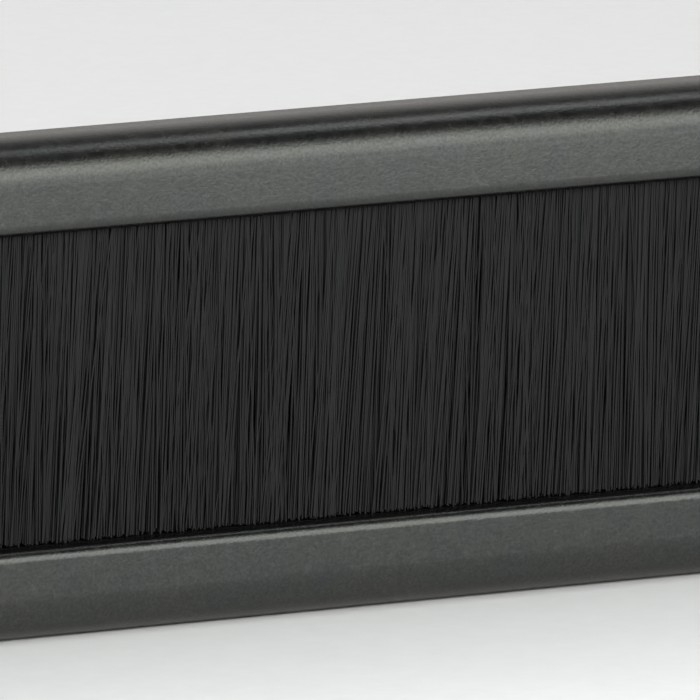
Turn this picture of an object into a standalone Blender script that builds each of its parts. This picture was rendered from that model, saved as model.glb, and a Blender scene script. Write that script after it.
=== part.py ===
"""Framed brush seal for the letter opening of a door.

A mitred frame of one extruded section holds two brush strips: the front curtain of bristles hangs
from the top rail, and the rear curtain stands up from the bottom rail behind it. Foam strips seal
the frame against the door, and four countersunk screws hold it there.

X runs along the opening, Z is up and -Y faces the room. The door's surface is the plane Y = 0.
In a cross-section, u is the distance out from the edge of the opening and v is the depth behind
the front face.
"""

import math

import bmesh
import bpy
from mathutils import Matrix, Vector

# Opening and frame section
OPENING_LENGTH = 0.266
OPENING_HEIGHT = 0.0484
FACE_WIDTH = 0.0148
FRAME_DEPTH = 0.0120
OUTER_ROUND = 0.0073
INNER_ROUND = 0.0021
BACK_CHAMFER = 0.0003
FRONT_WALL = 0.0014
BACK_WALL = 0.0012
LIP_HEIGHT = 0.0013
LIP_DEPTH = 0.0026
SEAT_DEPTH = 0.0021
SEAT_TOP = 0.0070
MITRE_GAP = 0.0001
OUTER_ROUND_STEPS = 16
INNER_ROUND_STEPS = 8

# Fits between pieces
CLEARANCE = 0.0002
WIDE_CLEARANCE = 0.0003

# Foam backing
GASKET_THICKNESS = 0.0015
GASKET_INNER = 0.002
GASKET_OUTER = 0.012

# Brush strips
CHANNEL_WIDTH = 0.0028
CHANNEL_WALL = 0.00045
CHANNEL_MOUTH = 0.0015
CHANNEL_TOP = 0.0067
CHANNEL_END_MARGIN = 0.0013
BUNDLE_WIDTH = 0.0016
BUNDLE_MOUTH = 0.0004
BUNDLE_SLIT = 0.0001
WIRE_RADIUS = 0.00035
WIRE_HOLE_RADIUS = 0.00045
WIRE_OFFSET = 0.0052
TIP_WIDTH = 0.0021
TIP_GAP = 0.0004
FLEX_AXIS_DROP = 0.0008
TUFTS_PER_CURTAIN = 6
TUFT_GAP = 0.0003
SIDE_GAP = 0.0004
PACKING_FOOT_MOUTH = 0.0002
PACKING_CHAMFER = 0.0008

# Corner keys
KEY_LEG = 0.018

# Fixing screws
SCREW_SPACING = 0.024
SCREW_OFFSET = 0.0048
SCREW_LENGTH = 0.02685
SCREW_SHANK_RADIUS = 0.0015
SCREW_HEAD_RADIUS = 0.0028
SCREW_HEAD_SINK = 0.00015
SCREW_HEAD_RIM = 0.0002
SCREW_POINT = 0.0035
SCREW_POINT_RADIUS = 0.0003
SCREW_SIDES = 28
RECESS_WIDTH = 0.0008
RECESS_SPAN = 0.0032
RECESS_DEPTH = 0.0011

# Worked out from the above
HALF_LENGTH = OPENING_LENGTH / 2
HALF_HEIGHT = OPENING_HEIGHT / 2
FRONT_Y = -(FRAME_DEPTH + GASKET_THICKNESS)
BACK_Y = -GASKET_THICKNESS
MID_Y = FRONT_Y + FRAME_DEPTH / 2
CHAMBER_TOP = FACE_WIDTH - FRONT_WALL
CHAMBER_BACK = FRAME_DEPTH - BACK_WALL
CHANNEL_FRONT = SEAT_DEPTH + CLEARANCE
CURTAIN_DEPTH = CHANNEL_FRONT + CHANNEL_WIDTH / 2
CURTAIN_Y = FRONT_Y + CURTAIN_DEPTH
FLEX_AXIS_Z = HALF_HEIGHT - FLEX_AXIS_DROP
SCREW_X = HALF_LENGTH + SCREW_OFFSET

# Finishes: colour, roughness, metallic
FINISHES = {
    "dark_satin_aluminium": ((0.105, 0.107, 0.103, 1.0), 0.42, 0.85),
    "cast_zinc": ((0.42, 0.42, 0.41, 1.0), 0.55, 0.9),
    "galvanised_steel": ((0.50, 0.51, 0.52, 1.0), 0.4, 0.95),
    "spring_wire": ((0.33, 0.33, 0.34, 1.0), 0.3, 1.0),
    "black_nylon": ((0.018, 0.018, 0.018, 1.0), 0.45, 0.0),
    "black_plastic": ((0.012, 0.012, 0.013, 1.0), 0.6, 0.0),
    "black_foam": ((0.020, 0.020, 0.021, 1.0), 0.95, 0.0),
    "black_zinc_steel": ((0.045, 0.045, 0.048, 1.0), 0.35, 0.9),
}


def clear_scene():
    """Start from an empty scene."""
    for item in list(bpy.data.objects):
        bpy.data.objects.remove(item, do_unlink=True)


def finish(name):
    """The named Principled material, made on first use."""
    made = bpy.data.materials.get(name)
    if made:
        return made
    colour, roughness, metallic = FINISHES[name]
    made = bpy.data.materials.new(name)
    made.use_nodes = True
    shader = made.node_tree.nodes["Principled BSDF"]
    shader.inputs["Base Color"].default_value = colour
    shader.inputs["Roughness"].default_value = roughness
    shader.inputs["Metallic"].default_value = metallic
    made.diffuse_color = colour
    return made


def add_object(name, bm, finish_name, origin=(0.0, 0.0, 0.0)):
    """An object from a bmesh built in world coordinates, with its origin at the point given."""
    bmesh.ops.recalc_face_normals(bm, faces=bm.faces)
    bmesh.ops.translate(bm, verts=bm.verts, vec=-Vector(origin))
    mesh = bpy.data.meshes.new(name)
    bm.to_mesh(mesh)
    bm.free()
    mesh.shade_smooth()
    mesh.set_sharp_from_angle(angle=math.radians(30))
    mesh.materials.append(finish(finish_name))
    item = bpy.data.objects.new(name, mesh)
    item.location = origin
    bpy.context.collection.objects.link(item)
    return item


def arc(centre, radius, start_deg, end_deg, steps):
    """Points along an arc in the (u, v) plane, both ends included."""
    points = []
    for i in range(steps + 1):
        angle = math.radians(start_deg + (end_deg - start_deg) * i / steps)
        points.append((centre[0] + radius * math.cos(angle), centre[1] + radius * math.sin(angle)))
    return points


def outer_corner(inset):
    """The big round of the front outer edge, this far inside the section's surface."""
    centre = (FACE_WIDTH - OUTER_ROUND, OUTER_ROUND)
    return arc(centre, OUTER_ROUND - inset, 270, 360, OUTER_ROUND_STEPS)


def box_outline(u0, u1, v0, v1):
    """A rectangle in the (u, v) plane."""
    return [(u0, v0), (u1, v0), (u1, v1), (u0, v1)]


def prism(near, far):
    """A closed bmesh between two matching loops of points."""
    bm = bmesh.new()
    first = [bm.verts.new(point) for point in near]
    second = [bm.verts.new(point) for point in far]
    count = len(first)
    for i in range(count):
        j = (i + 1) % count
        bm.faces.new((first[i], first[j], second[j], second[i]))
    bm.faces.new(first)
    bm.faces.new(second)
    return bm


def strip(outline, half_length):
    """A straight bar along X with its (u, v) section standing above the opening's top edge."""

    def loop(x):
        return [Vector((x, FRONT_Y + v, HALF_HEIGHT + u)) for u, v in outline]

    return prism(loop(-half_length), loop(half_length))


def turn_to_lower(item):
    """Swing a piece of the upper brush strip half a turn about the middle of the opening."""
    middle = Matrix.Translation((0.0, MID_Y, 0.0))
    half_turn = middle @ Matrix.Rotation(math.pi, 4, "X") @ middle.inverted()
    item.matrix_basis = half_turn @ item.matrix_basis


def frame_section():
    """Outline of the slotted box section that all four sides of the frame are cut from."""
    slot_back = FRAME_DEPTH - LIP_DEPTH
    seat_back = FRAME_DEPTH - SEAT_DEPTH
    outline = [(0.0, LIP_DEPTH)]
    outline += arc((INNER_ROUND, INNER_ROUND), INNER_ROUND, 180, 270, INNER_ROUND_STEPS)
    outline += outer_corner(0.0)
    outline += [
        (FACE_WIDTH, FRAME_DEPTH - BACK_CHAMFER),
        (FACE_WIDTH - BACK_CHAMFER, FRAME_DEPTH),
        (BACK_CHAMFER, FRAME_DEPTH),
        (0.0, FRAME_DEPTH - BACK_CHAMFER),
        (0.0, slot_back),
        (LIP_HEIGHT, slot_back),
        (LIP_HEIGHT, seat_back),
        (SEAT_TOP, seat_back),
        (SEAT_TOP, CHAMBER_BACK),
        (CHAMBER_TOP, CHAMBER_BACK),
    ]
    outline += reversed(outer_corner(FRONT_WALL))
    outline += [
        (SEAT_TOP, FRONT_WALL),
        (SEAT_TOP, SEAT_DEPTH),
        (LIP_HEIGHT, SEAT_DEPTH),
        (LIP_HEIGHT, LIP_DEPTH),
    ]
    return outline


def make_rail(name, side):
    """A long side of the frame, above (side 1) or below (side -1) the opening, mitred at both ends."""

    def loop(end):
        return [
            Vector((end * (HALF_LENGTH + u - MITRE_GAP), FRONT_Y + v, side * (HALF_HEIGHT + u)))
            for u, v in frame_section()
        ]

    return add_object(name, prism(loop(-1), loop(1)), "dark_satin_aluminium")


def make_stile(name, side):
    """A short side of the frame, right (side 1) or left (side -1) of the opening, with its screw holes."""

    def loop(end):
        return [
            Vector((side * (HALF_LENGTH + u), FRONT_Y + v, end * (HALF_HEIGHT + u - MITRE_GAP)))
            for u, v in frame_section()
        ]

    stile = add_object(name, prism(loop(-1), loop(1)), "dark_satin_aluminium")
    for level in (-1, 1):
        cut(stile, screw_hole(f"{name}_hole_{level + 1}", side, level))
    return stile


def make_frame():
    """The four mitred sides and the keys in their corners."""
    make_rail("top_rail", 1)
    make_rail("bottom_rail", -1)
    make_stile("left_stile", -1)
    make_stile("right_stile", 1)
    for row, level in (("top", 1), ("bottom", -1)):
        for column, side in (("left", -1), ("right", 1)):
            make_corner_key(f"corner_key_{row}_{column}", side, level)


def key_section():
    """Outline of a corner key's leg, which fills the outer part of the section's chamber."""
    back = CHAMBER_BACK - WIDE_CLEARANCE
    curve = outer_corner(FRONT_WALL + WIDE_CLEARANCE)[::2]
    return [*curve, (curve[-1][0], back), (curve[0][0], back)]


def make_corner_key(name, side, level):
    """A right-angled key: one leg slides into the rail's chamber and the other into the stile's."""
    reach = FACE_WIDTH - KEY_LEG
    rings = []
    for u_end in ("rail", "corner", "stile"):
        ring = []
        for u, v in key_section():
            x = reach if u_end == "rail" else u
            z = reach if u_end == "stile" else u
            ring.append(Vector((side * (HALF_LENGTH + x), FRONT_Y + v, level * (HALF_HEIGHT + z))))
        rings.append(ring)
    bm = bmesh.new()
    loops = [[bm.verts.new(point) for point in ring] for ring in rings]
    count = len(loops[0])
    for near, far in zip(loops, loops[1:]):
        for i in range(count):
            j = (i + 1) % count
            bm.faces.new((near[i], near[j], far[j], far[i]))
    bm.faces.new(loops[0])
    bm.faces.new(loops[-1])
    return add_object(name, bm, "cast_zinc")


def channel_outline():
    """The folded metal channel that grips the bristles: an upside-down U with bent corners."""
    front = CHANNEL_FRONT
    back = front + CHANNEL_WIDTH
    bend = 2 * CHANNEL_WALL
    inner_bend = bend - CHANNEL_WALL
    outline = [(CHANNEL_MOUTH, front)]
    outline += arc((CHANNEL_TOP - bend, front + bend), bend, 270, 360, 4)
    outline += arc((CHANNEL_TOP - bend, back - bend), bend, 0, 90, 4)
    outline += [(CHANNEL_MOUTH, back), (CHANNEL_MOUTH, back - CHANNEL_WALL)]
    outline += arc((CHANNEL_TOP - bend, back - bend), inner_bend, 90, 0, 4)
    outline += arc((CHANNEL_TOP - bend, front + bend), inner_bend, 360, 270, 4)
    outline += [(CHANNEL_MOUTH, front + CHANNEL_WALL)]
    return outline


def roots_outline():
    """The bristles' roots, folded double over the core wire: two legs with a hairline between them."""
    half = BUNDLE_WIDTH / 2
    wire = (WIRE_OFFSET, CURTAIN_DEPTH)
    slit = BUNDLE_SLIT / 2
    slit_angle = math.degrees(math.asin(slit / WIRE_HOLE_RADIUS))
    outline = [(BUNDLE_MOUTH, CURTAIN_DEPTH - half)]
    outline += arc(wire, half, -90, 90, 10)
    outline += [(BUNDLE_MOUTH, CURTAIN_DEPTH + half), (BUNDLE_MOUTH, CURTAIN_DEPTH + slit)]
    outline += arc(wire, WIRE_HOLE_RADIUS, 180 - slit_angle, -180 + slit_angle, 16)
    outline += [(BUNDLE_MOUTH, CURTAIN_DEPTH - slit)]
    return outline


def packing_outline():
    """The plastic strip that fills the seat beside the channel, with a foot that closes the slot."""
    body_front = CHANNEL_FRONT + CHANNEL_WIDTH + CLEARANCE
    body_back = FRAME_DEPTH - SEAT_DEPTH - CLEARANCE
    foot_front = CURTAIN_DEPTH + BUNDLE_WIDTH / 2 + WIDE_CLEARANCE
    foot_back = FRAME_DEPTH - LIP_DEPTH - CLEARANCE
    foot_top = CHANNEL_MOUTH - CLEARANCE / 2
    return [
        (PACKING_FOOT_MOUTH, foot_front),
        (foot_top, foot_front),
        (foot_top, body_front),
        (CHANNEL_TOP, body_front),
        (CHANNEL_TOP, body_back - PACKING_CHAMFER),
        (CHANNEL_TOP - PACKING_CHAMFER, body_back),
        (LIP_HEIGHT + CLEARANCE, body_back),
        (LIP_HEIGHT + CLEARANCE, foot_back),
        (PACKING_FOOT_MOUTH, foot_back),
    ]


def make_brush_strip(prefix, lower):
    """The fixed pieces of one brush strip: channel, core wire, bristle roots and packing strip."""
    inner_half = HALF_LENGTH - SIDE_GAP
    outer_half = HALF_LENGTH + CHANNEL_END_MARGIN
    wire = arc((WIRE_OFFSET, CURTAIN_DEPTH), WIRE_RADIUS, 0, 330, 11)
    pieces = [
        add_object(f"{prefix}_brush_channel", strip(channel_outline(), outer_half), "galvanised_steel"),
        add_object(f"{prefix}_core_wire", strip(wire, outer_half), "spring_wire"),
        add_object(f"{prefix}_bristle_roots", strip(roots_outline(), inner_half), "black_nylon"),
        add_object(f"{prefix}_packing_strip", strip(packing_outline(), inner_half), "black_plastic"),
    ]
    if lower:
        for piece in pieces:
            turn_to_lower(piece)


def tuft_outline():
    """Side view of a run of bristles: a round head on the flex axis, widening to the tips."""
    head = BUNDLE_WIDTH / 2
    tip = TIP_WIDTH / 2
    tip_u = -OPENING_HEIGHT + TIP_GAP
    outline = arc((-FLEX_AXIS_DROP, CURTAIN_DEPTH), head, -90, 90, 8)
    outline += [(tip_u, CURTAIN_DEPTH + tip), (tip_u, CURTAIN_DEPTH - tip)]
    return outline


def make_curtain(prefix, lower):
    """One curtain of bristles, in equal runs that flex about their roots one by one."""
    pitch = (OPENING_LENGTH - 2 * SIDE_GAP + TUFT_GAP) / TUFTS_PER_CURTAIN
    for i in range(TUFTS_PER_CURTAIN):
        centre_x = (i + 0.5) * pitch - (OPENING_LENGTH - 2 * SIDE_GAP + TUFT_GAP) / 2
        bm = strip(tuft_outline(), (pitch - TUFT_GAP) / 2)
        bmesh.ops.translate(bm, verts=bm.verts, vec=(centre_x, 0.0, 0.0))
        axis_point = (centre_x, CURTAIN_Y, FLEX_AXIS_Z)
        tuft = add_object(f"{prefix}_bristles_{i + 1}", bm, "black_nylon", axis_point)
        if lower:
            turn_to_lower(tuft)


def turned(profile, centre, sides):
    """A solid turned about a line along Y through the centre, from (radius, y) points."""
    bm = bmesh.new()
    rings = []
    for radius, y in profile:
        ring = []
        for i in range(sides):
            angle = 2 * math.pi * i / sides
            x = centre[0] + radius * math.cos(angle)
            z = centre[1] + radius * math.sin(angle)
            ring.append(bm.verts.new((x, y, z)))
        rings.append(ring)
    for near, far in zip(rings, rings[1:]):
        for i in range(sides):
            j = (i + 1) % sides
            bm.faces.new((near[i], near[j], far[j], far[i]))
    bm.faces.new(rings[0])
    bm.faces.new(rings[-1])
    return bm


def screw_place(side, level):
    """Centre of a fixing screw in the (X, Z) plane."""
    return (side * SCREW_X, level * SCREW_SPACING / 2)


def screw_hole(name, side, level):
    """Cutter for a countersunk hole that goes right through the stile and the foam."""
    rim = SCREW_HEAD_RADIUS + WIDE_CLEARANCE
    bore = SCREW_SHANK_RADIUS + WIDE_CLEARANCE
    head_y = FRONT_Y + SCREW_HEAD_SINK
    cone_end = head_y + SCREW_HEAD_RADIUS - SCREW_SHANK_RADIUS
    lead = FRAME_DEPTH / 4
    profile = [(rim, FRONT_Y - lead), (rim, head_y), (bore, cone_end), (bore, lead)]
    cutter = add_object(name, turned(profile, screw_place(side, level), SCREW_SIDES), "black_plastic")
    cutter.hide_render = True
    cutter.display_type = "WIRE"
    return cutter


def cut(item, cutter):
    """Take the cutter's shape out of the item."""
    hole = item.modifiers.new(cutter.name, "BOOLEAN")
    hole.operation = "DIFFERENCE"
    hole.object = cutter


def make_screw(name, side, level):
    """A countersunk screw with a cross recess, driven through the stile towards the door."""
    head_y = FRONT_Y + SCREW_HEAD_SINK
    rim_y = head_y + SCREW_HEAD_RIM
    cone_end = rim_y + SCREW_HEAD_RADIUS - SCREW_SHANK_RADIUS - SCREW_HEAD_RIM
    tip_y = head_y + SCREW_LENGTH
    profile = [
        (SCREW_HEAD_RADIUS, head_y),
        (SCREW_HEAD_RADIUS, rim_y),
        (SCREW_SHANK_RADIUS, cone_end),
        (SCREW_SHANK_RADIUS, tip_y - SCREW_POINT),
        (SCREW_POINT_RADIUS, tip_y),
    ]
    centre = screw_place(side, level)
    screw = add_object(name, turned(profile, centre, SCREW_SIDES), "black_zinc_steel")
    cut(screw, recess_cutter(f"{name}_recess", centre, head_y))


def recess_cutter(name, centre, head_y):
    """A cross-shaped cutter for the driver."""
    half = RECESS_WIDTH / 2
    reach = RECESS_SPAN / 2
    quarter = [(half, -half), (reach, -half), (reach, half)]
    outline = []
    for turn in range(4):
        angle = turn * math.pi / 2
        for x, z in quarter:
            across = x * math.cos(angle) - z * math.sin(angle)
            up = x * math.sin(angle) + z * math.cos(angle)
            outline.append((centre[0] + across, centre[1] + up))
    near = [Vector((x, head_y - RECESS_DEPTH, z)) for x, z in outline]
    far = [Vector((x, head_y + RECESS_DEPTH, z)) for x, z in outline]
    cutter = add_object(name, prism(near, far), "black_plastic")
    cutter.hide_render = True
    cutter.display_type = "WIRE"
    return cutter


def gasket_block(name, x_range, z_range):
    """One foam strip, flat against the back of the frame."""
    near = []
    far = []
    for x, z in box_outline(*x_range, *z_range):
        near.append(Vector((x, BACK_Y + CLEARANCE / 2, z)))
        far.append(Vector((x, 0.0, z)))
    return add_object(name, prism(near, far), "black_foam")


def make_gaskets():
    """Foam strips along all four sides, butted at the corners."""
    inner_x = HALF_LENGTH + GASKET_INNER
    outer_x = HALF_LENGTH + GASKET_OUTER
    inner_z = HALF_HEIGHT + GASKET_INNER
    outer_z = HALF_HEIGHT + GASKET_OUTER
    gasket_block("gasket_top", (-outer_x, outer_x), (inner_z, outer_z))
    gasket_block("gasket_bottom", (-outer_x, outer_x), (-outer_z, -inner_z))
    stile_half = inner_z - CLEARANCE
    left = gasket_block("gasket_left", (-outer_x, -inner_x), (-stile_half, stile_half))
    right = gasket_block("gasket_right", (inner_x, outer_x), (-stile_half, stile_half))
    for item, side in ((left, -1), (right, 1)):
        for level in (-1, 1):
            cut(item, screw_hole(f"{item.name}_hole_{level + 1}", side, level))


def make_screws():
    """Two fixing screws in each stile."""
    for column, side in (("left", -1), ("right", 1)):
        for row, level in (("upper", 1), ("lower", -1)):
            make_screw(f"fixing_screw_{column}_{row}", side, level)


def main():
    clear_scene()
    make_frame()
    make_brush_strip("upper", lower=False)
    make_brush_strip("lower", lower=True)
    make_curtain("front", lower=False)
    make_curtain("rear", lower=True)
    make_gaskets()
    make_screws()


main()
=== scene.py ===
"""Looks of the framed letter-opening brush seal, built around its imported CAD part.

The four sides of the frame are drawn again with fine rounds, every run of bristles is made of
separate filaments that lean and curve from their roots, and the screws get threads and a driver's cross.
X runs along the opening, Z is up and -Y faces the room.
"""

import math

import bmesh
import bpy
import numpy as np
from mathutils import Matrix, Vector


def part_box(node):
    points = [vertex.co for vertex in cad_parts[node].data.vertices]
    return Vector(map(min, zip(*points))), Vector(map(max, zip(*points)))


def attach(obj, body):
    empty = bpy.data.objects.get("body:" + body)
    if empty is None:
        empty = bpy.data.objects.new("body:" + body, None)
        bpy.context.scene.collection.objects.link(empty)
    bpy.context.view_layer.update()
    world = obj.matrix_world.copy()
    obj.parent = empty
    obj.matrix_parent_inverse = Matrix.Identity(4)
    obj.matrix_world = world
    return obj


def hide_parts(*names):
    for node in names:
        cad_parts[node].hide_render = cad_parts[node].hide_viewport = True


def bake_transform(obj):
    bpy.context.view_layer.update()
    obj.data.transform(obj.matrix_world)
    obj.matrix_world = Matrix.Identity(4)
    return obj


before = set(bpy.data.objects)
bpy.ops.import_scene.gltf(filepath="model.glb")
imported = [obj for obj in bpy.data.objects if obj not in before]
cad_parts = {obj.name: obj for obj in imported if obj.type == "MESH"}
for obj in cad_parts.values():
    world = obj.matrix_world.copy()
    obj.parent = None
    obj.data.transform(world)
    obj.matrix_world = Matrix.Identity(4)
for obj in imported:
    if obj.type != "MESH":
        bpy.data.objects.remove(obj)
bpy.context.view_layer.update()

# ---------------------------------------------------------------- sizes, in metres

MM = 0.001

# Frame section: rounds, walls, and the lips and seat of its slot
MITRE_GAP = 0.1 * MM
OUTER_ROUND = 7.3 * MM
INNER_ROUND = 2.1 * MM
BACK_CHAMFER = 0.3 * MM
FRONT_WALL = 1.4 * MM
BACK_WALL = 1.2 * MM
LIP_HEIGHT = 1.3 * MM
LIP_DEPTH = 2.6 * MM
SEAT_DEPTH = 2.1 * MM
SEAT_TOP = 7.0 * MM
EDGE_BREAK = 0.07 * MM
INNER_ROUND_STEPS = 20
OUTER_ROUND_STEPS = 44
CHAMBER_ROUND_STEPS = 16
SHARP_ANGLE = math.radians(30)

rail_low, rail_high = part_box("top_rail")
HALF_HEIGHT = rail_low.z
FACE_WIDTH = rail_high.z - rail_low.z
HALF_LENGTH = rail_high.x - FACE_WIDTH + MITRE_GAP
FRONT_Y = rail_low.y
FRAME_DEPTH = rail_high.y - rail_low.y
BOTTOM_Z = -rail_high.z

# Bristles
RUNS = 6
FILAMENTS = 720
FILAMENT_RADIUS = 0.165 * MM
FILAMENT_SIDES = 6
FILAMENT_RINGS = 13
ROOT_INSIDE = 1.2 * MM
ROOT_SPREAD = 0.40 * MM
TIP_SPREAD = 0.86 * MM
TIP_CLEARANCE = 0.45 * MM
MEAN_LEAN = math.radians(2.7)
EDGE_EASE = 14 * MM
SIDE_GAP = 0.20 * MM
LENGTH_SIGMA = 0.22 * MM
SHORTEST_BY = 1.3 * MM
LONGEST_BY = 0.08 * MM
CURVE_SIGMA = 0.20 * MM
DRIFT_SIGMA = 0.12 * MM
STRAY_SHARE = 0.14
CLUMP_LEAN = math.radians(1.0)
CLUMP_FAN = 0.035
CLUMP_MIXING = 0.12
EDGE_LEAN_SHARE = 0.15
FILAMENT_SHARP_ANGLE = math.radians(65)

# Screws
screw_low, screw_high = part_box("fixing_screw_right_upper")
SCREW_X = (screw_low.x + screw_high.x) / 2
SCREW_Z = (screw_low.z + screw_high.z) / 2
SCREW_FRONT = screw_low.y
SCREW_TIP = screw_high.y
HEAD_RADIUS = (screw_high.x - screw_low.x) / 2
HEAD_SINK = 0.15 * MM
SHANK_RADIUS = 1.5 * MM
CORE_RADIUS = 1.12 * MM
HOLE_CLEARANCE = 0.3 * MM
HOLE_OVERSHOOT = 3 * MM
HOLE_SIDES = 64
SCREW_SIDES = 40
THREAD_PITCH = 1.3 * MM
THREAD_STEPS_PER_TURN = 26
THREAD_RUN_OUT = 10
THREAD_HALF_WIDTH = 0.24 * MM
THREAD_HALF_CREST = 0.03 * MM
THREAD_TAPER = 4.4 * MM
THREAD_FOOT = 0.88
RECESS_REACH = 1.62 * MM
RECESS_HALF_WIDTH = 0.42 * MM
RECESS_DEPTH = 1.25 * MM
RECESS_OVERSHOOT = 0.5 * MM
RECESS_TOP_SCALE = 1.12
RECESS_FLOOR_SCALE = 0.42
FIRST_SCREW_TURN = math.radians(17)
NEXT_SCREW_TURN = math.radians(31)
SCREW_SHARP_ANGLE = math.radians(28)


# ---------------------------------------------------------------- meshes


def arc(centre, radius, start_deg, end_deg, steps):
    """Points along an arc, both ends included."""
    points = []
    for i in range(steps + 1):
        angle = math.radians(start_deg + (end_deg - start_deg) * i / steps)
        points.append((centre[0] + radius * math.cos(angle), centre[1] + radius * math.sin(angle)))
    return points


def add_mesh(name, verts, faces, finish):
    """A mesh object with smooth shading across its gentle edges."""
    mesh = bpy.data.meshes.new(name)
    mesh.from_pydata(verts, [], faces)
    mesh.validate()
    mesh.shade_smooth()
    mesh.set_sharp_from_angle(angle=SHARP_ANGLE)
    mesh.materials.append(finish)
    item = bpy.data.objects.new(name, mesh)
    bpy.context.scene.collection.objects.link(item)
    return item


def signed_area(outline):
    """Twice the area inside an outline, above zero when it runs anticlockwise."""
    total = 0.0
    for (u0, v0), (u1, v1) in zip(outline, outline[1:] + outline[:1]):
        total += u0 * v1 - u1 * v0
    return total


def inset(outline, distance):
    """The outline moved inwards along its corners' bisectors."""
    count = len(outline)
    turn = 1.0 if signed_area(outline) > 0 else -1.0
    moved = []
    for i in range(count):
        before, here, after = (Vector(outline[(i + k) % count]) for k in (-1, 0, 1))
        first = (here - before).normalized()
        second = (after - here).normalized()
        inward = turn * (Vector((-first.y, first.x)) + Vector((-second.y, second.x)))
        inward /= max(inward.length_squared / 2.0, 0.5)
        moved.append(tuple(here + inward * distance))
    return moved


def loft(rings):
    """Vertices and faces of a closed tube through rings that all have the same number of points."""
    count = len(rings[0])
    verts = [point for ring in rings for point in ring]
    faces = []
    for r in range(len(rings) - 1):
        for i in range(count):
            j = (i + 1) % count
            a, b = r * count, (r + 1) * count
            faces.append((a + i, a + j, b + j, b + i))
    last = (len(rings) - 1) * count
    faces.append(tuple(reversed(range(count))))
    faces.append(tuple(range(last, last + count)))
    return verts, faces


def turned(profile, centre, sides):
    """Vertices and faces of a solid turned about a line along Y, from (radius, y) points."""
    rings = []
    for radius, y in profile:
        ring = []
        for i in range(sides):
            angle = 2 * math.pi * i / sides
            ring.append((centre[0] + radius * math.cos(angle), y, centre[1] + radius * math.sin(angle)))
        rings.append(ring)
    return loft(rings)


def fix_normals(item):
    """Point every face outwards."""
    bm = bmesh.new()
    bm.from_mesh(item.data)
    bmesh.ops.recalc_face_normals(bm, faces=bm.faces)
    bm.to_mesh(item.data)
    bm.free()


def combine(item, operation, tool):
    """Cut the tool out of the item ("DIFFERENCE") or join it on ("UNION"), for good."""
    change = item.modifiers.new(tool.name, "BOOLEAN")
    change.operation = operation
    change.object = tool
    graph = bpy.context.evaluated_depsgraph_get()
    mesh = bpy.data.meshes.new_from_object(item.evaluated_get(graph), depsgraph=graph)
    item.modifiers.clear()
    item.data = mesh


# ---------------------------------------------------------------- materials


def node(tree, kind, inputs=None, **settings):
    """A shader node with its settings, and its inputs set or linked."""
    made = tree.nodes.new(kind)
    for key, value in settings.items():
        setattr(made, key, value)
    for key, value in (inputs or {}).items():
        if isinstance(value, bpy.types.NodeSocket):
            tree.links.new(value, made.inputs[key])
        else:
            made.inputs[key].default_value = value
    return made


def ramp(tree, factor, stops):
    """A colour ramp; a plain number in a stop is a grey."""
    made = tree.nodes.new("ShaderNodeValToRGB")
    elements = made.color_ramp.elements
    while len(elements) < len(stops):
        elements.new(0.5)
    for element, (position, colour) in zip(elements, stops):
        grey = isinstance(colour, (int, float))
        element.position = position
        element.color = (colour, colour, colour, 1.0) if grey else (*colour, 1.0)
    tree.links.new(factor, made.inputs["Fac"])
    return made.outputs["Color"]


def coords(tree, stretch=(1.0, 1.0, 1.0)):
    """Object coordinates in metres, scaled along each axis."""
    place = node(tree, "ShaderNodeTexCoord")
    scaled = node(tree, "ShaderNodeMapping", {"Vector": place.outputs["Object"], "Scale": stretch})
    return scaled.outputs["Vector"]


def noise(tree, vector, scale, detail=2.0, roughness=0.5):
    """A noise pattern's grey output."""
    inputs = {"Vector": vector, "Scale": scale, "Detail": detail, "Roughness": roughness}
    return node(tree, "ShaderNodeTexNoise", inputs).outputs["Fac"]


def blend_colours(tree, factor, first, second, mode="MIX"):
    """Two colours mixed by a factor."""
    made = node(tree, "ShaderNodeMix", data_type="RGBA", blend_type=mode)
    for socket, value in ((made.inputs[0], factor), (made.inputs[6], first), (made.inputs[7], second)):
        if isinstance(value, bpy.types.NodeSocket):
            tree.links.new(value, socket)
        elif isinstance(value, (int, float)):
            socket.default_value = value
        else:
            socket.default_value = (*value, 1.0)
    return made.outputs[2]


def bump(tree, height, strength, distance, normal=None):
    """A bump from a height pattern, on top of another when given."""
    inputs = {"Height": height, "Strength": strength, "Distance": distance}
    if normal is not None:
        inputs["Normal"] = normal
    return node(tree, "ShaderNodeBump", inputs).outputs["Normal"]


def material(name, **plain):
    """A Principled material, its node tree and its shader's inputs, with plain values set."""
    made = bpy.data.materials.new(name)
    made.use_nodes = True
    shader = made.node_tree.nodes["Principled BSDF"]
    for key, value in plain.items():
        shader.inputs[key.replace("_", " ")].default_value = value
    return made, made.node_tree, shader.inputs


def link(tree, output, socket):
    """Feed a node's output into a shader's socket."""
    tree.links.new(output, socket)


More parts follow.
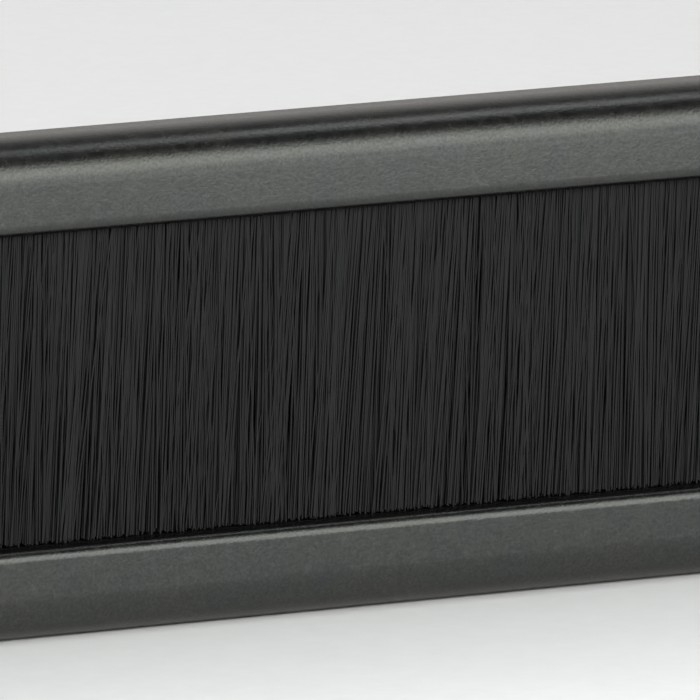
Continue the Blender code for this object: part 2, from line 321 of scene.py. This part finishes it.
def frame_metal(name, along):
    """Dark satin metal: fine blasted grain, faint drawing lines along the bar and soft cloudiness."""
    made, tree, sockets = material(name, Metallic=1.0, Specular_Tint=(0.92, 0.90, 0.88, 1.0))
    plain = coords(tree)
    lines = coords(tree, tuple(0.012 if i == along else 1.0 for i in range(3)))
    grain = noise(tree, plain, 2100.0, 3.0, 0.6)
    patch = noise(tree, plain, 650.0, 2.0, 0.5)
    cloud = noise(tree, plain, 120.0, 3.0, 0.55)
    drawn = noise(tree, lines, 1500.0, 2.0, 0.5)
    tone = ramp(tree, grain, [(0.28, (0.061, 0.063, 0.061)), (0.72, (0.093, 0.096, 0.092))])
    tinted = ramp(tree, cloud, [(0.30, (0.93, 0.95, 0.97)), (0.70, (1.0, 0.99, 0.96))])
    blotch = ramp(tree, patch, [(0.3, 0.945), (0.7, 1.04)])
    mottled = blend_colours(tree, 1.0, tinted, blotch, "MULTIPLY")
    link(tree, blend_colours(tree, 1.0, tone, mottled, "MULTIPLY"), sockets["Base Color"])
    patch_rough = ramp(tree, patch, [(0.30, 0.19), (0.70, 0.30)])
    cloud_rough = ramp(tree, cloud, [(0.3, 0.22), (0.7, 0.27)])
    link(tree, blend_colours(tree, 0.5, patch_rough, cloud_rough), sockets["Roughness"])
    first = bump(tree, drawn, 0.10, 0.00002)
    second = bump(tree, patch, 0.10, 0.00006, first)
    link(tree, bump(tree, grain, 0.62, 0.00006, second), sockets["Normal"])
    return made


def bristle_nylon():
    """Near-black nylon, each filament its own shade, slightly streaked along its length."""
    made, tree, sockets = material("bristle_nylon", Metallic=0.0, IOR=1.34)
    strand = node(tree, "ShaderNodeAttribute", attribute_name="strand").outputs["Fac"]
    shade = ramp(tree, strand, [
        (0.0, (0.0015, 0.0018, 0.0025)),
        (0.25, (0.0026, 0.0029, 0.0030)),
        (0.5, (0.0032, 0.0030, 0.0028)),
        (0.75, (0.0036, 0.0041, 0.0046)),
        (1.0, (0.0060, 0.0064, 0.0061)),
    ])
    streak = noise(tree, coords(tree, (1.0, 1.0, 0.05)), 1800.0, 2.0, 0.5)
    dust = ramp(tree, streak, [(0.3, 0.75), (0.7, 1.2)])
    link(tree, blend_colours(tree, 1.0, shade, dust, "MULTIPLY"), sockets["Base Color"])
    link(tree, ramp(tree, streak, [(0.3, 0.50), (0.7, 0.60)]), sockets["Roughness"])
    link(tree, bump(tree, streak, 0.15, 0.00002), sockets["Normal"])
    return made


def roots_nylon():
    """Folded bristles side by side: fine ribs across the bundle."""
    made, tree, sockets = material("bristle_roots")
    ribs = noise(tree, coords(tree, (1.0, 0.08, 0.08)), 3000.0, 1.0)
    tone = ramp(tree, ribs, [(0.3, (0.006, 0.006, 0.006)), (0.7, (0.026, 0.027, 0.026))])
    link(tree, tone, sockets["Base Color"])
    link(tree, ramp(tree, ribs, [(0.3, 0.40), (0.7, 0.55)]), sockets["Roughness"])
    link(tree, bump(tree, ribs, 0.8, 0.0001), sockets["Normal"])
    return made


def galvanised():
    """Zinc-coated strip with soft spangles."""
    made, tree, sockets = material("galvanised_strip", Metallic=0.95)
    cells = node(tree, "ShaderNodeTexVoronoi", {"Vector": coords(tree), "Scale": 420.0})
    spangle = ramp(tree, cells.outputs["Color"], [(0.2, (0.40, 0.41, 0.43)), (0.8, (0.58, 0.60, 0.62))])
    scratch = noise(tree, coords(tree, (0.03, 1.0, 1.0)), 3200.0, 2.0)
    link(tree, spangle, sockets["Base Color"])
    link(tree, ramp(tree, scratch, [(0.3, 0.30), (0.7, 0.50)]), sockets["Roughness"])
    link(tree, bump(tree, scratch, 0.2, 0.00003), sockets["Normal"])
    return made


def drawn_wire():
    """Bright drawn wire with fine lines along it."""
    made, tree, sockets = material("drawn_wire", Metallic=1.0)
    lines = noise(tree, coords(tree, (0.01, 1.0, 1.0)), 9000.0, 2.0)
    tone = ramp(tree, lines, [(0.3, (0.26, 0.26, 0.27)), (0.7, (0.42, 0.42, 0.43))])
    link(tree, tone, sockets["Base Color"])
    link(tree, ramp(tree, lines, [(0.3, 0.22), (0.7, 0.38)]), sockets["Roughness"])
    link(tree, bump(tree, lines, 0.2, 0.00002), sockets["Normal"])
    return made


def cast_zinc():
    """Die-cast zinc with a slightly grainy skin."""
    made, tree, sockets = material("cast_zinc", Metallic=0.9)
    skin = noise(tree, coords(tree), 900.0, 4.0, 0.6)
    tone = ramp(tree, skin, [(0.3, (0.33, 0.33, 0.33)), (0.7, (0.50, 0.50, 0.49))])
    link(tree, tone, sockets["Base Color"])
    link(tree, ramp(tree, skin, [(0.3, 0.62), (0.7, 0.44)]), sockets["Roughness"])
    link(tree, bump(tree, skin, 0.35, 0.0001), sockets["Normal"])
    return made


def extruded_plastic():
    """Black extruded plastic with die lines along it."""
    made, tree, sockets = material("extruded_plastic")
    lines = noise(tree, coords(tree, (0.01, 1.0, 1.0)), 2600.0, 3.0)
    tone = ramp(tree, lines, [(0.3, (0.009, 0.009, 0.010)), (0.7, (0.020, 0.020, 0.021))])
    link(tree, tone, sockets["Base Color"])
    link(tree, ramp(tree, lines, [(0.3, 0.42), (0.7, 0.60)]), sockets["Roughness"])
    link(tree, bump(tree, lines, 0.3, 0.00004), sockets["Normal"])
    return made


def foam():
    """Black closed-cell foam: small round cells with painted shade in their pits, and soft mottling."""
    made, tree, sockets = material("closed_cell_foam")
    cells = node(tree, "ShaderNodeTexVoronoi", {"Vector": coords(tree), "Scale": 1900.0})
    pits = ramp(tree, cells.outputs["Distance"], [(0.1, 0.0), (0.7, 1.0)])
    mottle = noise(tree, coords(tree), 260.0, 3.0)
    base = ramp(tree, mottle, [(0.3, (0.016, 0.016, 0.017)), (0.7, (0.034, 0.034, 0.035))])
    # painted shade: the base colour is darkened towards each cell's centre, where the bump sinks a pit
    cell_pit_painted_shade = ramp(tree, cells.outputs["Distance"], [(0.0, 0.55), (0.6, 1.25)])
    link(tree, blend_colours(tree, 1.0, base, cell_pit_painted_shade, "MULTIPLY"), sockets["Base Color"])
    link(tree, ramp(tree, mottle, [(0.3, 0.86), (0.7, 0.96)]), sockets["Roughness"])
    link(tree, bump(tree, pits, 0.7, 0.00012), sockets["Normal"])
    return made


def black_zinc():
    """Black passivated steel, a little worn and brown on the thread."""
    made, tree, sockets = material("black_zinc_steel", Metallic=0.9)
    wear = noise(tree, coords(tree), 1400.0, 4.0, 0.6)
    tone = ramp(tree, wear, [
        (0.30, (0.026, 0.026, 0.029)),
        (0.55, (0.050, 0.050, 0.052)),
        (0.78, (0.110, 0.105, 0.098)),
    ])
    link(tree, tone, sockets["Base Color"])
    link(tree, ramp(tree, wear, [(0.3, 0.30), (0.7, 0.46)]), sockets["Roughness"])
    link(tree, bump(tree, wear, 0.15, 0.00003), sockets["Normal"])
    return made


def floor_paper():
    """Pale matt paper with a very faint texture."""
    made, tree, sockets = material("pale_floor", Specular_IOR_Level=0.25)
    fibre = noise(tree, coords(tree), 300.0, 4.0, 0.6)
    tone = ramp(tree, fibre, [(0.3, (0.78, 0.785, 0.79)), (0.7, (0.81, 0.812, 0.815))])
    link(tree, tone, sockets["Base Color"])
    link(tree, ramp(tree, fibre, [(0.3, 0.55), (0.7, 0.65)]), sockets["Roughness"])
    return made


# ---------------------------------------------------------------- frame


def frame_section():
    """Outline of the slotted box section, in (out from the opening, depth behind the front)."""
    slot_back = FRAME_DEPTH - LIP_DEPTH
    seat_back = FRAME_DEPTH - SEAT_DEPTH
    chamber_top = FACE_WIDTH - FRONT_WALL
    chamber_back = FRAME_DEPTH - BACK_WALL
    round_centre = (FACE_WIDTH - OUTER_ROUND, OUTER_ROUND)
    outline = [(EDGE_BREAK, LIP_DEPTH), (0.0, LIP_DEPTH - EDGE_BREAK)]
    outline += arc((INNER_ROUND, INNER_ROUND), INNER_ROUND, 180, 270, INNER_ROUND_STEPS)
    outline += arc(round_centre, OUTER_ROUND, 270, 360, OUTER_ROUND_STEPS)
    outline += [
        (FACE_WIDTH, FRAME_DEPTH - BACK_CHAMFER),
        (FACE_WIDTH - BACK_CHAMFER, FRAME_DEPTH),
        (BACK_CHAMFER, FRAME_DEPTH),
        (0.0, FRAME_DEPTH - BACK_CHAMFER),
        (0.0, slot_back + EDGE_BREAK),
        (EDGE_BREAK, slot_back),
        (LIP_HEIGHT, slot_back),
        (LIP_HEIGHT, seat_back),
        (SEAT_TOP, seat_back),
        (SEAT_TOP, chamber_back),
        (chamber_top, chamber_back),
    ]
    outline += arc(round_centre, OUTER_ROUND - FRONT_WALL, 360, 270, CHAMBER_ROUND_STEPS)
    outline += [
        (SEAT_TOP, FRONT_WALL),
        (SEAT_TOP, SEAT_DEPTH),
        (LIP_HEIGHT, SEAT_DEPTH),
        (LIP_HEIGHT, LIP_DEPTH),
    ]
    return outline


def frame_side(name, place, metal):
    """One mitred side. place(u, v, end, back) gives a point, back metres short of the mitre."""
    full = frame_section()
    small = inset(full, EDGE_BREAK)
    rings = []
    for end, section, back in (
        (-1, small, 0.0),
        (-1, full, EDGE_BREAK),
        (1, full, EDGE_BREAK),
        (1, small, 0.0),
    ):
        rings.append([place(u, v, end, back) for u, v in section])
    verts, faces = loft(rings)
    item = add_mesh(name + "_skin", verts, faces, metal)
    fix_normals(item)
    return item


def rail_place(side):
    """Maps the section onto a rail above (1) or below (-1) the opening."""

    def place(u, v, end, back):
        return (end * (HALF_LENGTH + u - MITRE_GAP - back), FRONT_Y + v, side * (HALF_HEIGHT + u))

    return place


def stile_place(side):
    """Maps the section onto a stile right (1) or left (-1) of the opening."""

    def place(u, v, end, back):
        return (side * (HALF_LENGTH + u), FRONT_Y + v, end * (HALF_HEIGHT + u - MITRE_GAP - back))

    return place


def bore(item, centre):
    """Cut one countersunk screw hole through the item."""
    head_y = FRONT_Y + HEAD_SINK
    rim = HEAD_RADIUS + HOLE_CLEARANCE
    hole = SHANK_RADIUS + HOLE_CLEARANCE
    cone_end = head_y + HEAD_RADIUS - SHANK_RADIUS
    profile = [(rim, FRONT_Y - HOLE_OVERSHOOT), (rim, head_y), (hole, cone_end), (hole, HOLE_OVERSHOOT)]
    cutter = add_mesh("hole", *turned(profile, centre, HOLE_SIDES), item.data.materials[0])
    fix_normals(cutter)
    combine(item, "DIFFERENCE", cutter)
    bpy.data.objects.remove(cutter)


def build_frame():
    """The four sides, with fine rounds and broken mitre edges."""
    long_metal = frame_metal("dark_satin_rail", 0)
    short_metal = frame_metal("dark_satin_stile", 2)
    for name, side in (("top_rail", 1), ("bottom_rail", -1)):
        dress(frame_side(name, rail_place(side), long_metal), "frame_finish", name)
    for name, side in (("left_stile", -1), ("right_stile", 1)):
        item = frame_side(name, stile_place(side), short_metal)
        for level in (-1, 1):
            bore(item, (side * SCREW_X, level * SCREW_Z))
        item.data.set_sharp_from_angle(angle=SHARP_ANGLE)
        dress(item, "frame_finish", name)


def dress(item, slot_name, *nodes):
    """Put a fixed piece on the frame's body in place of its CAD nodes."""
    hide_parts(*nodes)
    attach(item, "frame")


# ---------------------------------------------------------------- screws


def screw_body():
    """Head, neck and tapered core of the screw, about the Y axis: its radius along its length."""
    profile = [
        (HEAD_RADIUS - 0.12 * MM, SCREW_FRONT),
        (HEAD_RADIUS, SCREW_FRONT + 0.08 * MM),
        (HEAD_RADIUS, SCREW_FRONT + 0.22 * MM),
        (SHANK_RADIUS + 0.12 * MM, SCREW_FRONT + 1.45 * MM),
        (CORE_RADIUS + 0.1 * MM, SCREW_FRONT + 1.75 * MM),
        (CORE_RADIUS, SCREW_FRONT + 2.2 * MM),
        (CORE_RADIUS, SCREW_TIP - 4.2 * MM),
        (CORE_RADIUS * 0.62, SCREW_TIP - 1.9 * MM),
        (0.12 * MM, SCREW_TIP - 0.05 * MM),
    ]
    return turned(profile, (0.0, 0.0), SCREW_SIDES)


def screw_thread():
    """One start of thread, a ridge that winds from under the head to the point."""
    start = SCREW_FRONT + 2.6 * MM
    end = SCREW_TIP - 0.5 * MM
    turns = (end - start) / THREAD_PITCH
    steps = int(turns * THREAD_STEPS_PER_TURN)
    full_height = SHANK_RADIUS - CORE_RADIUS * THREAD_FOOT
    rings = []
    for i in range(steps + 1):
        t = i / steps
        y = start + (end - start) * t
        angle = 2 * math.pi * turns * t
        taper = min(1.0, (SCREW_TIP - y) / THREAD_TAPER)
        grow = min(1.0, i / THREAD_RUN_OUT, (steps - i) / THREAD_RUN_OUT)
        root = CORE_RADIUS * taper * THREAD_FOOT
        crest = root + full_height * (0.35 + 0.65 * taper) * max(grow, 0.05)
        half = THREAD_HALF_WIDTH * max(grow, 0.2)
        ridge = [(root, -half), (crest, -THREAD_HALF_CREST), (crest, THREAD_HALF_CREST), (root, half)]
        rings.append([(radius * math.cos(angle), y + dy, radius * math.sin(angle)) for radius, dy in ridge])
    return loft(rings)


def cross_cutter():
    """The driver's cross: four tapering wings about the Y axis."""
    reach, half = RECESS_REACH, RECESS_HALF_WIDTH
    quarter_outline = [(-half, reach), (-half, half), (-reach, half)]
    rings = []
    top = (SCREW_FRONT - RECESS_OVERSHOOT, RECESS_TOP_SCALE)
    floor = (SCREW_FRONT + RECESS_DEPTH, RECESS_FLOOR_SCALE)
    for y, scale in (top, floor):
        ring = []
        for quarter in range(4):
            c = math.cos(quarter * math.pi / 2)
            s = math.sin(quarter * math.pi / 2)
            for x, z in quarter_outline:
                ring.append(((x * c - z * s) * scale, y, (x * s + z * c) * scale))
        rings.append(ring)
    return loft(rings)


def build_screws():
    """Four countersunk screws with thread and driver's cross, from one mesh."""
    steel = black_zinc()
    pattern = add_mesh("screw_pattern", *screw_body(), steel)
    cross = add_mesh("cross", *cross_cutter(), steel)
    thread = add_mesh("thread", *screw_thread(), steel)
    for item in (pattern, cross, thread):
        fix_normals(item)
    combine(pattern, "DIFFERENCE", cross)
    combine(pattern, "UNION", thread)
    pattern.data.shade_smooth()
    pattern.data.set_sharp_from_angle(angle=SCREW_SHARP_ANGLE)
    turn = 0
    for column, side in (("left", -1), ("right", 1)):
        for row, level in (("upper", 1), ("lower", -1)):
            name = f"fixing_screw_{column}_{row}"
            item = bpy.data.objects.new(name + "_skin", pattern.data.copy())
            bpy.context.scene.collection.objects.link(item)
            item.location = (side * SCREW_X, 0.0, level * SCREW_Z)
            item.rotation_euler = (0.0, FIRST_SCREW_TURN + NEXT_SCREW_TURN * turn, 0.0)
            dress(item, "screw", name)
            turn += 1
    for helper in (pattern, cross, thread):
        bpy.data.objects.remove(helper)


# ---------------------------------------------------------------- bristles


def lean_share(x):
    """How much of the curtain's lean a filament takes; none beside the stiles."""
    left = np.clip((x + HALF_LENGTH) / EDGE_EASE, 0.0, 1.0)
    right = np.clip((HALF_LENGTH - x) / EDGE_EASE, 0.0, 1.0)
    ease = np.minimum(left, right)
    return ease * ease * (3 - 2 * ease)


def filament_paths(low, high, seed, clumping):
    """One run's centre lines: x, depth and fall of each (filament, ring), each filament's shade, and
    the random generator, for what is drawn next. More clumping makes fewer, clearer clumps."""
    rng = np.random.default_rng(seed)
    spot = (np.arange(FILAMENTS) + rng.uniform(0, 1, FILAMENTS)) / FILAMENTS
    root_x = low + (high - low) * spot
    depth = rng.uniform(-1, 1, FILAMENTS)
    clumps = round(12 + 4 * clumping)
    mixing = CLUMP_MIXING / clumping ** 2
    clump = np.clip((spot * clumps + rng.normal(0, mixing, FILAMENTS)).astype(int), 0, clumps - 1)
    clump_lean = clumping * rng.normal(0, CLUMP_LEAN, clumps)[clump]
    clump_fan = clumping * rng.normal(0.0, CLUMP_FAN, clumps)[clump]
    shade = 0.5 * rng.uniform(0, 1, FILAMENTS) + 0.5 * rng.uniform(0, 1, clumps)[clump]
    centre = low + (high - low) * (clump + 0.5) / clumps
    own_lean = rng.normal(0, math.radians(0.5 + clumping), FILAMENTS)
    stray = rng.uniform(0, 1, FILAMENTS) > 1 - STRAY_SHARE
    own_lean = np.where(stray, own_lean * (1 + clumping), own_lean)
    curve = rng.normal(0, CURVE_SIGMA, FILAMENTS)
    length = 2 * HALF_HEIGHT - TIP_CLEARANCE + rng.normal(0, LENGTH_SIGMA, FILAMENTS)
    length = np.clip(length, 2 * HALF_HEIGHT - SHORTEST_BY, 2 * HALF_HEIGHT - LONGEST_BY)
    t = np.linspace(0, 1, FILAMENT_RINGS)[None, :] ** 1.5
    share = lean_share(root_x)
    scatter = EDGE_LEAN_SHARE + (1 - EDGE_LEAN_SHARE) * share
    slope = -MEAN_LEAN * share + (clump_lean + own_lean) * scatter
    fall = (length + ROOT_INSIDE)[:, None] * t
    fan = (root_x - centre) * clump_fan
    x = root_x[:, None] + np.tan(slope)[:, None] * fall
    x = x + curve[:, None] * np.sin(np.pi * t) + fan[:, None] * t ** 1.5
    limit = HALF_LENGTH - SIDE_GAP
    x = np.clip(x, -limit, limit)
    drift = rng.normal(0, DRIFT_SIGMA, FILAMENTS)[:, None]
    y = depth[:, None] * (ROOT_SPREAD + (TIP_SPREAD - ROOT_SPREAD) * t) + drift * t
    y = np.clip(y, -TIP_SPREAD, TIP_SPREAD)
    return x, y, fall, shade, rng


def add_run(name, body, low, high, seed, lower, clumping, material_used):
    """One run of filaments that hangs from the top rail or, when lower, stands on the bottom rail."""
    x, y, fall, shade, rng = filament_paths(low, high, seed, clumping)
    axis_y = (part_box(body)[0].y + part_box(body)[1].y) / 2
    sign = -1.0 if lower else 1.0
    z = sign * (HALF_HEIGHT + ROOT_INSIDE - fall)
    count, rings, sides = FILAMENTS, FILAMENT_RINGS, FILAMENT_SIDES
    radius = FILAMENT_RADIUS * rng.uniform(0.90, 1.08, count)
    phase = rng.uniform(0, 2 * math.pi, count)
    angle = phase[:, None] + np.arange(sides)[None, :] * 2 * math.pi / sides
    offset_x = radius[:, None] * np.cos(angle)
    offset_y = radius[:, None] * np.sin(angle)
    verts = np.empty((count, rings, sides, 3))
    verts[..., 0] = x[:, :, None] + offset_x[:, None, :]
    verts[..., 1] = axis_y + y[:, :, None] + offset_y[:, None, :]
    verts[..., 2] = z[:, :, None]
    mesh = tube_mesh(name, verts, sign)
    mesh.materials.append(material_used)
    strand = mesh.attributes.new("strand", "FLOAT", "POINT")
    strand.data.foreach_set("value", np.repeat(shade, rings * sides).astype(np.float32))
    item = bpy.data.objects.new(name, mesh)
    bpy.context.scene.collection.objects.link(item)
    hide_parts(body)
    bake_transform(item)


def tube_mesh(name, verts, sign):
    """A mesh of closed tubes from an array of (tube, ring, side, 3) points."""
    count, rings, sides, _ = verts.shape
    base = np.arange(count)[:, None, None] * rings * sides
    ring = np.arange(rings - 1)[None, :, None] * sides
    side = np.arange(sides)[None, None, :]
    nxt = (side + 1) % sides
    quads = np.stack([
        base + ring + side, base + ring + nxt, base + ring + sides + nxt, base + ring + sides + side,
    ], axis=-1).reshape(-1, 4)
    if sign > 0:
        quads = quads[:, ::-1]
    tube = np.arange(count)[:, None] * rings * sides
    around = np.arange(sides)[None, :]
    first = tube + around
    last = tube + (rings - 1) * sides + around[:, ::-1]
    if sign < 0:
        first, last = first[:, ::-1], last[:, ::-1]
    loops = np.concatenate([quads.ravel(), first.ravel(), last.ravel()])
    sizes = np.concatenate([np.full(len(quads), 4), np.full(2 * count, sides)])
    mesh = bpy.data.meshes.new(name)
    mesh.vertices.add(count * rings * sides)
    mesh.vertices.foreach_set("co", verts.reshape(-1).astype(np.float32))
    mesh.loops.add(len(loops))
    mesh.loops.foreach_set("vertex_index", loops.astype(np.int32))
    mesh.polygons.add(len(sizes))
    starts = np.concatenate([[0], np.cumsum(sizes)[:-1]])
    mesh.polygons.foreach_set("loop_start", starts.astype(np.int32))
    mesh.update(calc_edges=True)
    mesh.validate()
    mesh.shade_smooth()
    mesh.set_sharp_from_angle(angle=FILAMENT_SHARP_ANGLE)
    return mesh


def build_bristles():
    """Two curtains of six runs each."""
    nylon = bristle_nylon()
    edge = HALF_LENGTH - SIDE_GAP
    pitch = 2 * edge / RUNS
    for curtain, prefix in enumerate(("front", "rear")):
        for i in range(RUNS):
            low = -edge + pitch * i
            body = f"{prefix}_bristles_{i + 1}"
            name = f"{prefix}_filaments_{i + 1}"
            seed = 100 * curtain + i + 7
            clumping = 0.4 if curtain else 1.0
            add_run(name, body, low, low + pitch, seed, curtain == 1, clumping, nylon)


# ---------------------------------------------------------------- carried-over pieces


def dress_cad_nodes():
    """Procedural finishes on the CAD nodes that are shown as they are."""
    groups = {
        "brush_channel": galvanised(),
        "core_wire": drawn_wire(),
        "packing_strip": extruded_plastic(),
        "corner_key": cast_zinc(),
        "gasket": foam(),
        "bristle_roots": roots_nylon(),
    }
    for name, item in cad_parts.items():
        for part, finish in groups.items():
            if part in name:
                item.data.materials.clear()
                item.data.materials.append(finish)


# ---------------------------------------------------------------- stage, light and camera

FLOOR_HALF = 25.0
VIEW_AZIMUTH = -32.76
VIEW_ELEVATION = 8.0
VIEW_DISTANCE = 3.377
LENS_MM = 1120.2686
SENSOR_MM = 36.0


def direction(azimuth, elevation):
    """Unit vector from the object towards a point seen at that azimuth and elevation, in degrees."""
    a, e = math.radians(azimuth), math.radians(elevation)
    return Vector((math.sin(a) * math.cos(e), -math.cos(a) * math.cos(e), math.sin(e)))


def area_light(name, azimuth, elevation, distance, size, radiance, colour, aim=(0.0, 0.0, 0.0)):
    """A rectangular soft light that faces its aim and isn't seen itself."""
    lamp = bpy.data.lights.new(name, "AREA")
    lamp.shape = "RECTANGLE"
    lamp.size, lamp.size_y = size
    lamp.energy = radiance * math.pi * size[0] * size[1]
    lamp.color = colour
    item = bpy.data.objects.new(name, lamp)
    away = direction(azimuth, elevation)
    item.location = Vector(aim) + away * distance
    item.rotation_euler = away.to_track_quat("Z", "Y").to_euler()
    item.visible_camera = False
    bpy.context.scene.collection.objects.link(item)


def build_stage():
    """A pale floor under the object."""
    corners = ((-1, -1), (1, -1), (1, 1), (-1, 1))
    verts = [(x * FLOOR_HALF, y * FLOOR_HALF, BOTTOM_Z) for x, y in corners]
    floor = add_mesh("floor", verts, [(0, 1, 2, 3)], floor_paper())


def build_world():
    """Bright low in front, pale behind and dark overhead, so the metal's rounds get clear bands."""
    world = bpy.data.worlds.new("studio")
    world.use_nodes = True
    tree = world.node_tree
    place = node(tree, "ShaderNodeTexCoord").outputs["Generated"]
    split = node(tree, "ShaderNodeSeparateXYZ", {"Vector": place})
    front = ramp(tree, split.outputs["Z"], [
        (0.0, (0.84, 0.87, 0.89)),
        (0.14, (1.50, 1.53, 1.53)),
        (0.30, (3.04, 3.06, 2.93)),
        (0.52, (3.04, 3.06, 2.93)),
        (0.65, 0.20),
        (0.73, 0.03),
    ])
    behind = ramp(tree, split.outputs["Z"], [
        (0.0, 0.48),
        (0.22, (0.55, 0.54, 0.53)),
        (0.45, (0.84, 0.83, 0.83)),
        (0.60, 0.80),
        (0.71, 0.50),
        (0.80, 0.11),
        (0.88, 0.03),
    ])
    side = node(tree, "ShaderNodeMapRange", {
        "Value": split.outputs["Y"], "From Min": -0.30, "From Max": 0.25,
    }).outputs["Result"]
    colour = blend_colours(tree, side, front, behind)
    tree.links.new(colour, tree.nodes["Background"].inputs["Color"])
    bpy.context.scene.world = world


def build_lights():
    """Soft lights overhead and behind, two near the front and a small one high on the right."""
    area_light("overhead_soft", 0, 86, 1.3, (1.0, 1.0), 1.45, (0.97, 0.99, 1.0))
    area_light("backdrop_soft", 180, 55, 1.7, (1.2, 0.9), 1.25, (0.98, 0.99, 1.0))
    area_light("near_front", -18, 22, 0.36, (0.24, 0.13), 4.0, (0.97, 0.99, 1.0), (0.02, 0.0, -0.01))
    area_light("low_right", 33, 3, 0.34, (0.20, 0.05), 1.6, (1.0, 1.0, 0.99), (0.0, 0.0, 0.0))
    area_light("side_small", 88, 57.5, 1.0, (0.22, 0.12), 3.4, (0.96, 0.98, 1.0))


def build_camera():
    """A long lens, a little above the object and to its left."""
    aim = Vector((0.0, FRONT_Y + 3.0 * MM, 1.87 * MM))
    lens = bpy.data.cameras.new("camera")
    lens.sensor_width = SENSOR_MM
    lens.lens = LENS_MM
    lens.clip_start = 0.1
    lens.clip_end = 60.0
    item = bpy.data.objects.new("camera", lens)
    away = direction(VIEW_AZIMUTH, VIEW_ELEVATION)
    item.location = aim + away * VIEW_DISTANCE
    item.rotation_euler = away.to_track_quat("Z", "Y").to_euler()
    bpy.context.scene.collection.objects.link(item)
    bpy.context.scene.camera = item


build_frame()
build_screws()
build_bristles()
dress_cad_nodes()
build_stage()
build_world()
build_lights()
build_camera()
bpy.context.scene.view_settings.view_transform = "Standard"
